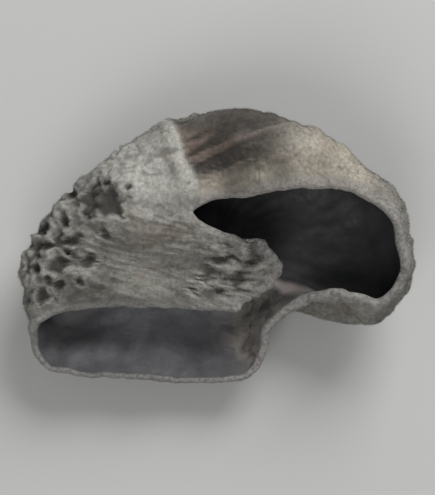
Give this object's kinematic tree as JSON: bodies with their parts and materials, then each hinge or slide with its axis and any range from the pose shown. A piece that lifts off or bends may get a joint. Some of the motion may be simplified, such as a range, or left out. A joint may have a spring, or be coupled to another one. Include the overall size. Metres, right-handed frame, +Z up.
{
  "type": "dried wood ear mushroom",
  "caption": "Dried black wood ear mushroom: a thin, leathery ear curled into an open cup, with a folded-over flap, resting on the flat cut of its stub.",
  "frame": {"origin": "middle of the flat cut under the stub, where the ear grew on wood", "axes": "+Z up, out of the cut and through the ear; +X towards the open cup, along the ear's length; +Y towards the hood's back"},
  "size_m": [0.0236, 0.0165, 0.0093],
  "materials": {
    "dried_ear": "matte"
  },
  "bodies": {
    "root": {"wood_ear": "dried_ear"}
  },
  "joints": []
}
